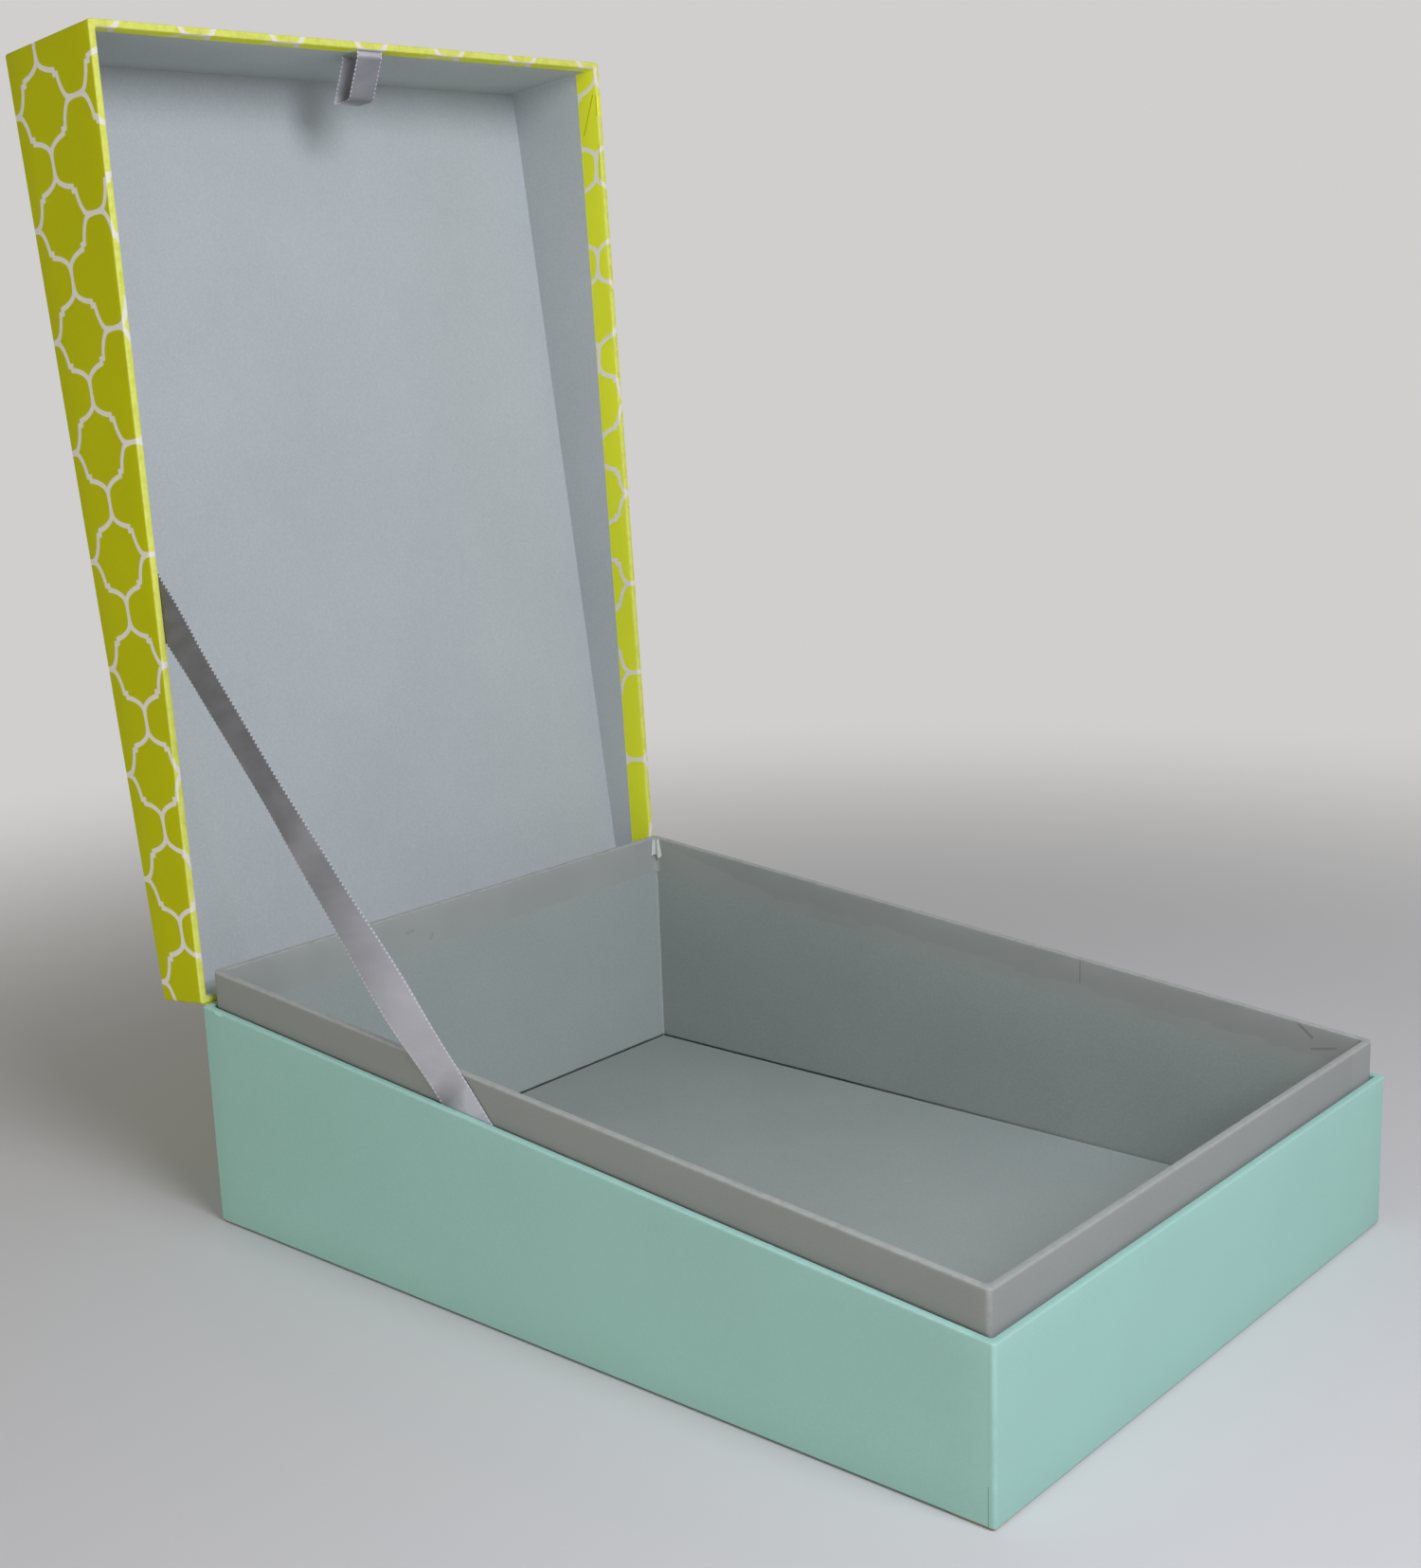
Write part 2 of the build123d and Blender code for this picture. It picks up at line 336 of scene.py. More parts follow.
NECK_FAR_CREASE_SHADE = (((0.0502, 0.0763), (0.0502, 0.0664), 0.0008, 0.4, 0.35),
                    ((0.1336, 0.0695), (0.1413, 0.0635), 0.0013, 0.5, 0.35),
                    ((0.1414, 0.0594), (0.1499, 0.0612), 0.0012, 0.4, 0.35))
NECK_NEAR_CREASE_SHADE = (((-0.1607, 0.0925), (-0.1606, 0.0800), 0.0009, 0.6, 0.35),)
NECK_SMUDGES = (((-0.028, 0.0857), (-0.025, 0.0860), 0.0020, 0.25, 0.5),
                ((-0.0165, 0.0809), (-0.0155, 0.0822), 0.0020, 0.25, 0.5))
BASE_NEAR_MARKS = (((0.1627, 0.0006), (0.1628, 0.0120), 0.0005, 0.55, 0.3),
                   ((0.1628, 0.0120), (0.1633, 0.0510), 0.0004, 0.10, 0.3),
                   ((-0.1575, 0.0797), (-0.1545, 0.0793), 0.0014, 0.6, 1.7))
# Painted shade and highlight of wrinkles on the lid's far turn-in: a dark line beside a light one
LID_WRINKLE_PAINTED_SHADING = (((-0.1792, 0.3996), (-0.1849, 0.3844), 0.0009, 0.55, 0.45),
                ((-0.1785, 0.3996), (-0.1842, 0.3844), 0.0008, 0.6, 1.9),
                ((-0.1776, 0.3994), (-0.1775, 0.3916), 0.0007, 0.5, 0.45),
                ((-0.1771, 0.3994), (-0.1769, 0.3916), 0.0006, 0.6, 1.9),
                ((-0.1770, 0.3800), (-0.1775, 0.3650), 0.0006, 0.4, 0.5))
# Limits past which a place is on the far wall, on the near wall or at the hinge end
FAR_SIDE = 0.1
NEAR_SIDE = -0.115
HINGE_END = -0.15


def neck_marks(look, surface, inside):
    """Painted shade along creases of the neck's paper, smudges, and the torn lower edge of its far
    turn-in.
    """
    x, y, z = look.axes(look.place)
    far = look.math("GREATER_THAN", y, FAR_SIDE)
    near = look.math("LESS_THAN", y, NEAR_SIDE)
    behind = look.math("LESS_THAN", x, HINGE_END)
    torn = look.times(look.noise(look.place, 70.0, 4.0, 0.6), 0.010)
    deeper = look.times(look.step(x, -0.16, -0.08), 0.0075)
    past = look.less(look.past_rim(), look.plus(deeper, torn))
    wedge = look.times(far, look.step(past, 0.0012, 0.0))
    surface = look.mix(look.times(wedge, 0.40), surface, TORN_PAPER)
    # Painted shade along the creases
    surface = look.lined(surface, inside, x, z, far, NECK_FAR_CREASE_SHADE)
    surface = look.lined(surface, inside, x, z, near, NECK_NEAR_CREASE_SHADE)
    return look.lined(surface, inside, y, z, behind, NECK_SMUDGES)


def base_marks(look, surface, colour):
    """Thin dark overlap of the covering paper beside the near free corner, and a nick at the rim."""
    x, y, z = look.axes(look.place)
    near = look.math("LESS_THAN", y, NEAR_SIDE)
    return look.lined(surface, colour, x, z, near, BASE_NEAR_MARKS)


def corner_wear(look, inset):
    """Where a wall's upright corners are rubbed, from 0 to 1."""
    size = sizes()
    x, y = look.axes(look.place)[:2]
    past_end = look.less(look.math("ABSOLUTE", x), size.length / 2 - inset)
    past_side = look.less(look.math("ABSOLUTE", y), size.width / 2 - inset)
    near = look.step(look.math("MINIMUM", past_end, past_side), -0.0016, -0.0008)
    return look.times(near, look.step(look.noise(look.place, 180.0, 3.0, 0.6), 0.3, 0.6))


def covering_paper(name, colour, worn, wall, wears, inside=None):
    """Matt covering paper with worn folds at the rim, made less pale at the free end."""
    look = Surface(name)
    wear, free_end_paleness = wears
    surface, fibres = look.paper(colour)
    if inside:
        inset = sizes().neck_inset
        surface = neck_marks(look, turned_in(look, surface, inside, wall), inside)
    else:
        inset = 0.0
        surface = base_marks(look, surface, colour)
    free_end = look.step(look.axes(look.place)[0], 0.1570, 0.1590)
    amount = look.less(wear, look.times(free_end, wear - free_end_paleness))
    surface = rim_wear(look, surface, worn, wall, 0.0012, amount)
    surface = look.mix(look.times(corner_wear(look, inset), wear * 0.35), surface, worn)
    look.fill(Base_Color=surface, Roughness=0.62, Specular_IOR_Level=0.18)
    look.waved(fibres, 0.00004, 14.0, 0.0012)
    return look.material


def pad_seam_painted_shade(look, surface, colour):
    """Painted shade in the gap above the floor pad, fading out towards the free end, and a paler far
    hinge corner.
    """
    x, y, z = look.axes(look.place)
    top = PAD_HIGH[2]
    uneven = look.times(look.noise(look.place, 160.0), 0.0005)
    gap = look.step(look.less(z, uneven), top + 0.0003, top + 0.0001)
    share = look.times(gap, look.step(x, 0.070, -0.070))
    surface = look.mix(share, surface, tinted(colour, 0.2))
    upright = look.times(look.step(x, PAD_LOW[0], PAD_LOW[0] - 0.0003),
                         look.step(y, PAD_HIGH[1], PAD_HIGH[1] + 0.0003))
    return look.mix(look.times(upright, 0.35), surface, tinted(colour, 1.3))


def lining_paper(name, colour, painted_seam_shade=False):
    """Lining paper with a fine pressed grain."""
    look = Surface(name)
    grain = look.add("ShaderNodeTexVoronoi", {"Vector": look.place, "Scale": 900.0})
    pits = look.step(grain.outputs["Distance"], 0.15, 0.75)
    surface = look.paper(colour, 0.07, 0.20)[0]
    surface = look.mix(look.times(pits, 0.16), surface, tinted(colour, 0.72))
    # Painted shade in the seam above the floor pad
    if painted_seam_shade:
        surface = pad_seam_painted_shade(look, surface, colour)
    look.fill(Base_Color=surface, Roughness=0.75, Specular_IOR_Level=0.18)
    look.waved(pits, 0.00005, 11.0, 0.0014)
    return look.material


def trellis_lines(look, sheet):
    """Where the trellis runs, from 0 to 1: four tapered arms on a barbed square, repeated."""
    size = sizes()
    along, across = size.pattern_along, size.pattern_across
    run, side = look.axes(sheet)[:2]
    # The armed cells have their middles half a repeat away from those of the plump cells
    from_hinge, from_middle = 0.3086, 0.134
    # Shares of a repeat: half an arm's end, its taper, half the square's side, softness of corners
    end_share, taper, square_share, soft_share = 0.145, 0.42, 0.267, 0.020
    # An arm is half way between a straight taper and a round lobe of this share of a repeat
    lobe_share, power = 0.214, 2.3
    local = []
    for value, first, repeat in ((run, from_hinge, along), (side, from_middle, across)):
        cycles = look.math("DIVIDE", look.less(value, first), repeat)
        local.append(look.math("ABSOLUTE", look.less(look.math("FRACT", cycles), 0.5)))
    greater = look.math("MAXIMUM", *local)
    lesser = look.math("MINIMUM", *local)
    slant = hypot(1, taper)
    taper_line = look.plus(look.times(lesser, 1 / slant), look.times(greater, taper / slant))
    taper_line = look.less(taper_line, (end_share + taper / 2) / slant)
    straight = look.math("SMOOTH_MAX", taper_line, look.less(greater, 0.5), 0.06)
    lobe_x = look.math("ABSOLUTE", look.less(greater, 0.5 - lobe_share))
    powers = look.plus(look.math("POWER", lobe_x, power), look.math("POWER", lesser, power))
    lobe = look.less(look.math("POWER", powers, 1 / power), lobe_share)
    arm = look.times(look.plus(straight, lobe), 0.5)
    square = look.less(look.math("SMOOTH_MAX", *local, soft_share), square_share)
    outline = look.math("ABSOLUTE", look.math("SMOOTH_MIN", arm, square, soft_share / 2))
    half = size.pattern_line / along / 2
    return look.step(outline, half + 0.004, half - 0.004)


def lid_marks(look, sheet, ground, lines):
    """Bare rim at the hinge, painted shade and highlight of wrinkles beside the far top corner and
    lining over the deep turn-ins.
    """
    own = colours()
    size = sizes()
    run = look.axes(sheet)[0]
    lines = look.times(lines, look.step(run, rim_run() - 0.0002, rim_run() + 0.0008))
    x, y, z = look.axes(look.place)
    far = look.math("GREATER_THAN", y, FAR_SIDE)
    # Painted shade and highlight of the far wrinkles
    printed = look.lined(look.mix(lines, ground, own.lattice), own.lime, x, z, far, LID_WRINKLE_PAINTED_SHADING)
    # The linings start at the hinge wall's inner face, and a little down the free wall's
    hinge_edge = rim_run() - size.wall
    free_edge = size.length + size.shut_height - size.front_height + size.wall + 0.0048
    covered = look.plus(look.step(run, hinge_edge + 0.0002, hinge_edge - 0.0003),
                        look.step(run, free_edge, free_edge + 0.0004))
    return look.mix(covered, printed, own.lid_lining)


def lid_paper(name, folded=True):
    """Lime covering paper printed with the pale trellis, with worn rims where it is folded."""
    look = Surface(name)
    own = colours()
    wall = sizes().wall
    sheet = look.flat("sheet")
    lines = trellis_lines(look, sheet)
    ground, fibres = look.paper(own.lime, 0.06, 0.08)
    if folded:
        # The turned-in paper is painted paler, as painted light and reflection
        painted_light_inward = look.step(look.past_rim(), wall + 0.0001, wall + 0.0006)
        ground = look.mix(painted_light_inward, ground, INNER_LIME_PAINTED_LIGHT)
        # The rims are rubbed paler and also carry a painted highlight where the lamp catches them
        ground = rim_wear(look, ground, WORN_LIME_PAINTED_HIGHLIGHT, wall, 0.0010, 0.85)
        printed = lid_marks(look, sheet, ground, lines)
    else:
        printed = look.mix(lines, ground, own.lattice)
    look.fill(Base_Color=printed, Roughness=0.6, Specular_IOR_Level=0.12)
    look.waved(fibres, 0.00003, 12.0, 0.0012)
    return look.material


def satin(name):
    """Satin ribbon: fine threads across, a woven edge, a soft gloss, and painted highlight and shade.
    """
    look = Surface(name)
    grey = colours().ribbon
    run, side = look.axes(look.flat("ribbon"))[:2]
    threads = look.math("SINE", look.times(side, 2 * pi / 0.00032))
    rows = look.math("SINE", look.times(run, 2 * pi / 0.00045))
    streaks = look.noise(look.joined(look.times(run, 25.0), look.times(side, 900.0)), 1.0, 3.0, 0.6)
    slanted = look.joined(look.plus(look.times(run, 130.0), side), look.times(side, 0.9))
    painted_glints = look.times(look.less(look.noise(slanted, 1.0), 0.5), 0.35)
    # Painted highlight and shade: a per-vertex value, with painted glints, makes the colour darker or
    # lighter along the ribbon
    painted_highlight = look.add("ShaderNodeAttribute", attribute_name="painted_highlight").outputs["Fac"]
    painted_highlight = look.math("ADD", painted_highlight, painted_glints, clamp=True)
    body = look.mix(painted_highlight, tinted(grey, 0.5), tinted(grey, 2.9))
    body = look.mix(look.times(streaks, 0.25), body, tinted(grey, 0.8))
    edge = look.step(look.math("ABSOLUTE", side), 0.455, 0.475)
    stitch = look.math("GREATER_THAN", look.math("SINE", look.times(run, 2 * pi / 0.0016)), 0.1)
    body = look.mix(look.times(edge, look.times(stitch, 0.9)), body, tinted(grey, 3.4))
    tangent = look.add("ShaderNodeTangent", direction_type="UV_MAP", uv_map="ribbon").outputs[0]
    look.fill(Base_Color=body, Roughness=0.48, Specular_IOR_Level=1.0, Anisotropic=0.95,
             Anisotropic_Rotation=0.25, Tangent=tangent)
    weave = look.plus(look.times(rows, 0.000004), look.times(streaks, 0.00005))
    look.bump(look.plus(look.times(threads, 0.000006), weave), 0.5)
    return look.material


def raw_board(name, colour):
    """Raw greyboard or tape, flecked with fibres."""
    look = Surface(name)
    surface, fibres = look.paper(colour, 0.1, 0.4)
    look.fill(Base_Color=surface, Roughness=0.9)
    look.bump(look.times(fibres, 0.0001), 0.5)
    return look.material


def table_top(name):
    """Plain pale surface under the box, which fades into the backdrop further out."""
    look = Surface(name)
    pale = colours().table
    clouds = look.noise(look.place, 2.0, 2.0)
    look.fill(Base_Color=look.mix(clouds, tinted(pale, 0.98), tinted(pale, 1.02)), Roughness=0.6,
             Specular_IOR_Level=0.3)
    away = look.vector("LENGTH", look.place, result="Value")
    fade = look.times(look.step(away, 0.32, 0.95), look.seen_directly())
    glow = look.add("ShaderNodeEmission", {"Color": (*BACKDROP, 1.0), "Strength": 1.0})
    both = look.add("ShaderNodeMixShader", {0: fade, 1: look.shader.outputs[0], 2: glow.outputs[0]})
    look.give(look.output.inputs["Surface"], both.outputs[0])
    return look.material


def made_once(name, maker, *values):
    """A material by name, made the first time that it is asked for."""
    return bpy.data.materials.get(name) or maker(name, *values)


def mint_paper():
    """Covering paper of the base."""
    own = colours()
    return made_once("mint covering paper", covering_paper, own.mint, tinted(own.mint, 1.36),
                     sizes().wall, BASE_WEAR)


def neck_paper():
    """Covering paper of the neck."""
    own = colours()
    return made_once("grey neck paper", covering_paper, own.neck, tinted(own.neck, 1.7),
                     sizes().neck_wall, NECK_WEAR, tuple(own.neck_inside))


# Modelling helpers

def nothing_selected():
    """Leave edit mode and deselect everything."""
    if bpy.context.mode != "OBJECT":
        bpy.ops.object.mode_set(mode="OBJECT")
    bpy.ops.object.select_all(action="DESELECT")


def chosen(piece):
    """Make a piece the only selected and active object."""
    nothing_selected()
    piece.select_set(True)
    bpy.context.view_layer.objects.active = piece


def placed(piece):
    """Apply a piece's place, turn and size to its mesh."""
    chosen(piece)
    bpy.ops.object.transform_apply(location=True, rotation=True, scale=True)


def block(name, low, high):
    """A cube primitive between two corners."""
    nothing_selected()
    middle = [(a + b) / 2 for a, b in zip(low, high)]
    bpy.ops.mesh.primitive_cube_add(size=1.0, location=middle)
    piece = bpy.context.active_object
    piece.name = name
    piece.data.name = name
    piece.scale = [b - a for a, b in zip(low, high)]
    placed(piece)
    return piece


def editing(piece):
    """Go into edit mode on one piece, with nothing selected."""
    chosen(piece)
    bpy.ops.object.mode_set(mode="EDIT")
    bpy.ops.mesh.select_mode(type="VERT")
    bpy.ops.mesh.select_all(action="DESELECT")


def pick(piece, kind, test):
    """Select the edges or faces that pass a test, in edit mode."""
    bpy.ops.mesh.select_mode(type=kind)
    bpy.ops.mesh.select_all(action="DESELECT")
    shell = bmesh.from_edit_mesh(piece.data)
    found = [thing for thing in (shell.edges if kind == "EDGE" else shell.faces) if test(thing)]
    if not found:
        raise RuntimeError(f"nothing was found to select on {piece.name}")
    for thing in found:
        thing.select_set(True)
    bmesh.update_edit_mesh(piece.data)


def cut_at(place, direction, drop_outer=False):
    """Cut everything in edit mode by a plane, and drop what is past it if asked."""
    bpy.ops.mesh.select_all(action="SELECT")
    bpy.ops.mesh.bisect(plane_co=place, plane_no=direction, use_fill=False,
                        clear_outer=drop_outer, clear_inner=False)


def even(low, high, step):
    """Places between two ends, about a step apart, without the ends."""
    count = max(1, round((high - low) / step))
    return [low + (high - low) * i / count for i in range(1, count)]


def grid_cuts(low, high, step):
    """Divide a mesh in edit mode by planes about a step apart along each axis."""
    for axis in range(3):
        direction = Vector((0, 0, 0))
        direction[axis] = 1
        for value in even(low[axis], high[axis], step):
            cut_at(direction * value, direction)


def rim_height(rim, x):
    """Height of a sloping rim at a place along the box."""
    share = (x + sizes().length / 2) / sizes().length
    return rim[0] + (rim[1] - rim[0]) * share


def folded_paper(name, inset, corner, low, rim, wall, turn_in, step, round_below=0.0):
    """Paper on four walls, folded over a sloping rim and turned in, open below if not rounded there."""
    size = sizes()
    half_x = size.length / 2 - inset
    half_y = size.width / 2 - inset
    high = max(rim) + 0.002
    piece = block(name, (-half_x, -half_y, low), (half_x, half_y, high))
    editing(piece)
    cut_at((-size.length / 2, 0, rim[0]), (rim[0] - rim[1], 0, size.length), drop_outer=True)
    pick(piece, "EDGE", lambda e: abs(e.verts[0].co.z - e.verts[1].co.z) > 0.005
         and abs(e.verts[0].co.x - e.verts[1].co.x) < 1e-6)
    bpy.ops.mesh.bevel(offset=corner, segments=4, affect="EDGES")
    if round_below:
        pick(piece, "EDGE", lambda e: max(v.co.z for v in e.verts) < low + 1e-6)
        bpy.ops.mesh.bevel(offset=round_below, segments=3, affect="EDGES")
    else:
        pick(piece, "FACE", lambda f: f.normal.z < -0.9)
        bpy.ops.mesh.delete(type="FACE")
    pick(piece, "EDGE", lambda e: e.is_boundary and min(v.co.z for v in e.verts) > low + 0.002)
    bpy.ops.mesh.extrude_edges_move()
    bpy.ops.transform.resize(value=((half_x - wall) / half_x, (half_y - wall) / half_y, 1),
                             center_override=(0, 0, 0))
    shell = bmesh.from_edit_mesh(piece.data)
    for vertex in shell.verts:
        if vertex.select:
            vertex.co.z = rim_height(rim, vertex.co.x)
    bmesh.update_edit_mesh(piece.data)
    bpy.ops.mesh.extrude_edges_move()
    bpy.ops.transform.translate(value=(0, 0, -turn_in))

    def on_rim(edge):
        flat = all(abs(v.co.z - rim_height(rim, v.co.x)) < 1e-5 for v in edge.verts)
        depths = [min(half_x - abs(v.co.x), half_y - abs(v.co.y)) for v in edge.verts]
        return flat and abs(depths[0] - depths[1]) < wall / 3

    pick(piece, "EDGE", on_rim)
    bpy.ops.mesh.bevel(offset=size.rim_round, segments=3, affect="EDGES")
    grid_cuts((-half_x, -half_y, low), (half_x, half_y, max(rim)), step)
    bpy.ops.mesh.select_all(action="SELECT")
    bpy.ops.mesh.normals_make_consistent(inside=False)
    bpy.ops.object.mode_set(mode="OBJECT")
    turn_faces_out(piece)
    unfold(piece, half_x, half_y, low, rim, wall, round_below)
    return piece


def turn_faces_out(piece):
    """Flip a sheet whose outer walls face inwards."""
    walls = [face for face in piece.data.polygons if abs(face.normal.y) > 0.9]
    outer = max(walls, key=lambda face: abs(face.center.y))
    if outer.normal.y * outer.center.y < 0:
        piece.data.flip_normals()


def unfold(piece, half_x, half_y, low, rim, wall, round_below):
    """Give a folded paper its flat sheet coordinates and its place across the fold, in metres."""

    def depths_of(point):
        """How far a point is in from each wall's outer face."""
        return {"front": half_x - point.x, "hinge": half_x + point.x,
                "far": half_y - point.y, "near": half_y + point.y}

    mesh = piece.data
    for name in ("sheet", "fold"):
        mesh.uv_layers.new(name=name)
    sheet = mesh.uv_layers["sheet"]
    fold = mesh.uv_layers["fold"]
    for face in mesh.polygons:
        depths = depths_of(face.center)
        side = min(depths, key=depths.get)
        under = round_below and face.normal.z < -0.8 and face.center.z < low + round_below
        for corner in face.loop_indices:
            point = mesh.vertices[mesh.loops[corner].vertex_index].co
            edge = rim_height(rim, point.x)
            across = depths_of(point)[side]
            if across > wall * 0.72 and point.z < edge - 1e-6 and depths[side] > wall * 0.6:
                across = wall + edge - point.z
            elif depths[side] < wall * 0.3 and point.z < edge + 1e-6 and across < wall * 0.3:
                across = point.z - edge
            if under:
                across = -edge
            fold.data[corner].uv = (point.x if side in ("far", "near") else point.y, across)
            path = edge - low + across
            along = point.x + half_x
            flat = {"front": (2 * half_x + path, point.y), "hinge": (-path, point.y),
                    "far": (along, half_y + path - FAR_SHIFT), "near": (along, -half_y - path)}
            sheet.data[corner].uv = (along, point.y) if under else flat[side]


def thickened(piece, thickness):
    """Give a sheet its thickness on its back."""
    chosen(piece)
    made = piece.modifiers.new("Thickness", "SOLIDIFY")
    made.thickness = thickness
    made.offset = -1.0
    bpy.ops.object.modifier_apply(modifier=made.name)


def smoothed(piece, angle=40):
    """Smooth shading, with sharp creases kept."""
    chosen(piece)
    bpy.ops.object.shade_smooth_by_angle(angle=radians(angle))


def dressed(piece, material, body, slot, *nodes):
    """Give a piece its material, attach it to a body if one is given, and hide the nodes it replaces;
    the slot is not used.
    """
    piece.data.materials.clear()
    piece.data.materials.append(material)
    if body:
        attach(piece, body)
    if nodes:
        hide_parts(*nodes)


def hinge_point():
    """The line that the lid turns on, as a point on it."""
    size = sizes()
    return Vector((-size.length / 2 - size.paper / 2, 0, size.hinge_height + size.rim_gap / 2))


def swing():
    """Transform from the shut lid to where it stands open."""
    middle = Matrix.Translation(hinge_point())
    return middle @ Matrix.Rotation(-sizes().open_angle, 4, "Y") @ middle.inverted()


def on_open_lid(piece, rim_up=True):
    """Put a lid piece, modelled rim up or shut, where the open lid is."""
    over = Matrix.Translation((0, 0, sizes().shut_height)) @ Matrix.Rotation(pi, 4, "X")
    piece.matrix_world = swing() @ (over if rim_up else Matrix.Identity(4))
    placed(piece)


# Rims, each as its height over the hinge end and over the free end

def base_rim():
    """Rim of the base."""
    return (sizes().hinge_height, sizes().front_height)


def neck_rim():
    """Rim of the neck."""
    return (sizes().hinge_height + sizes().neck_rise, sizes().front_height + sizes().neck_rise)


def lid_rim():
    """Rim of the lid, modelled rim up."""
    size = sizes()
    return (size.shut_height - size.hinge_height - size.rim_gap,
            size.shut_height - size.front_height - size.rim_gap)


def rim_run():
    """Where the lid's rim over the hinge is on the lid's flat sheet."""
    size = sizes()
    return size.hinge_height + size.rim_gap - size.shut_height


class DOCBOX_OT_stage(bpy.types.Operator):
    """Table, lights and camera"""
    bl_idname = "docbox.stage"
    bl_label = "Stage"

    def execute(self, context):
        self.add_table()
        for lamp in LAMPS:
            self.add_lamp(*lamp)
        self.add_world()
        self.add_camera()
        return {"FINISHED"}

    def add_table(self):
        """Table top, just under the box."""
        nothing_selected()
        bpy.ops.mesh.primitive_plane_add(size=8.0, location=(0, 0, -0.0003))
        table = bpy.context.active_object
        table.name = "table"
        placed(table)
        table.data.materials.append(made_once("pale table top", table_top))

    def add_lamp(self, name, place, aim, size, power, colour, shiny):
        """Round soft lamp that the camera doesn't see."""
        nothing_selected()
        bpy.ops.object.light_add(type="AREA", location=place)
        lamp = bpy.context.active_object
        lamp.name = name
        lamp.data.shape = "DISK"
        lamp.data.size = size
        lamp.data.energy = power
        lamp.data.color = colour
        lamp.visible_camera = False
        lamp.visible_glossy = shiny
        lamp.rotation_euler = (Vector(aim) - Vector(place)).to_track_quat("-Z", "Y").to_euler()

    def add_world(self):
        """Light from all round, with a plain backdrop where the camera sees it."""
        world = bpy.data.worlds.new("room")
        world.use_nodes = True
        sky = Nodes(world.node_tree)
        lit = sky.add("ShaderNodeBackground", {"Color": ROOM_LIGHT, "Strength": ROOM_STRENGTH})
        back = sky.add("ShaderNodeBackground", {"Color": (*BACKDROP, 1.0), "Strength": 1.0})
        both = sky.add("ShaderNodeMixShader", {0: sky.seen_directly(), 1: lit.outputs[0],
                                               2: back.outputs[0]})
        sky.add("ShaderNodeOutputWorld", {"Surface": both.outputs[0]})
        bpy.context.scene.world = world

    def add_camera(self):
        """The photograph's camera."""
        nothing_selected()
        bpy.ops.object.camera_add()
        camera = bpy.context.active_object
        camera.name = "photo_camera"
        turn = Matrix((CAMERA_RIGHT, CAMERA_UP, CAMERA_BACK)).transposed()
        camera.matrix_world = Matrix.Translation(CAMERA_PLACE) @ turn.to_4x4()
        camera.data.sensor_fit = "AUTO"
        camera.data.sensor_width = 36.0
        camera.data.lens = CAMERA_LENS
        camera.data.clip_start = 0.01
        bpy.context.scene.camera = camera
        bpy.context.scene.view_settings.view_transform = "Standard"


class DOCBOX_OT_base_covering(bpy.types.Operator):
    """Mint paper on the base, folded over the rim"""
    bl_idname = "docbox.base_covering"
    bl_label = "Base covering"

    def execute(self, context):
        size = sizes()
        piece = folded_paper("base_covering", inset=0.0, corner=size.corner, low=size.paper,
                             rim=base_rim(), wall=size.wall, turn_in=size.base_turn_in,
                             step=0.012, round_below=size.foot_round)
        thickened(piece, size.paper)
        smoothed(piece)
        dressed(piece, mint_paper(), "base", "mint_paper", "base_wrap")
        return {"FINISHED"}


class DOCBOX_OT_neck_covering(bpy.types.Operator):
    """Grey paper on the neck, with its torn turn-in inside"""
    bl_idname = "docbox.neck_covering"
    bl_label = "Neck covering"

    def execute(self, context):
        size = sizes()
        piece = folded_paper("neck_covering", inset=size.neck_inset, corner=size.neck_corner,
                             low=PAD_LOW[2], rim=neck_rim(), wall=size.neck_wall,
                             turn_in=size.neck_turn_in, step=0.006)
        thickened(piece, size.paper)
        smoothed(piece)
        dressed(piece, neck_paper(), "base", "grey_paper", "neck_wrap")
        return {"FINISHED"}


class DOCBOX_OT_lid_covering(bpy.types.Operator):
    """Lime paper with the trellis, on the lid"""
    bl_idname = "docbox.lid_covering"
    bl_label = "Lid covering"

    def execute(self, context):
        size = sizes()
        piece = folded_paper("lid_covering", inset=0.0, corner=size.corner, low=0.0,
                             rim=lid_rim(), wall=size.wall, turn_in=size.lid_turn_in,
                             step=0.010, round_below=size.rim_round)
        thickened(piece, size.paper)
        on_open_lid(piece)
        smoothed(piece)
        dressed(piece, made_once("lime trellis paper", lid_paper), "lid", "lime_paper", "lid_wrap")
        return {"FINISHED"}


class DOCBOX_OT_finishes(bpy.types.Operator):
    """Finishes of the boards, tapes, linings and floor pad"""
    bl_idname = "docbox.finishes"
    bl_label = "Boards and linings"

    def execute(self, context):
        own = colours()
        boards = made_once("raw greyboard", raw_board, own.board)
        tapes = made_once("gummed corner tape", raw_board, own.tape)
        wall_lining = made_once("green grey wall lining", lining_paper, own.base_lining, True)
        lid_lining = made_once("blue grey lining paper", lining_paper, own.lid_lining)
        finishes = {"base_corner_stays": tapes, "lid_corner_stays": tapes,
                    "base_wall_lining": wall_lining, "lid_panel_lining": lid_lining,
                    "lid_wall_lining": lid_lining, "base_bottom_sheet": mint_paper()}
        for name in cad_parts:
            materials = bpy.data.objects[name].data.materials
            materials.clear()
            materials.append(finishes.get(name, boards))
        return {"FINISHED"}


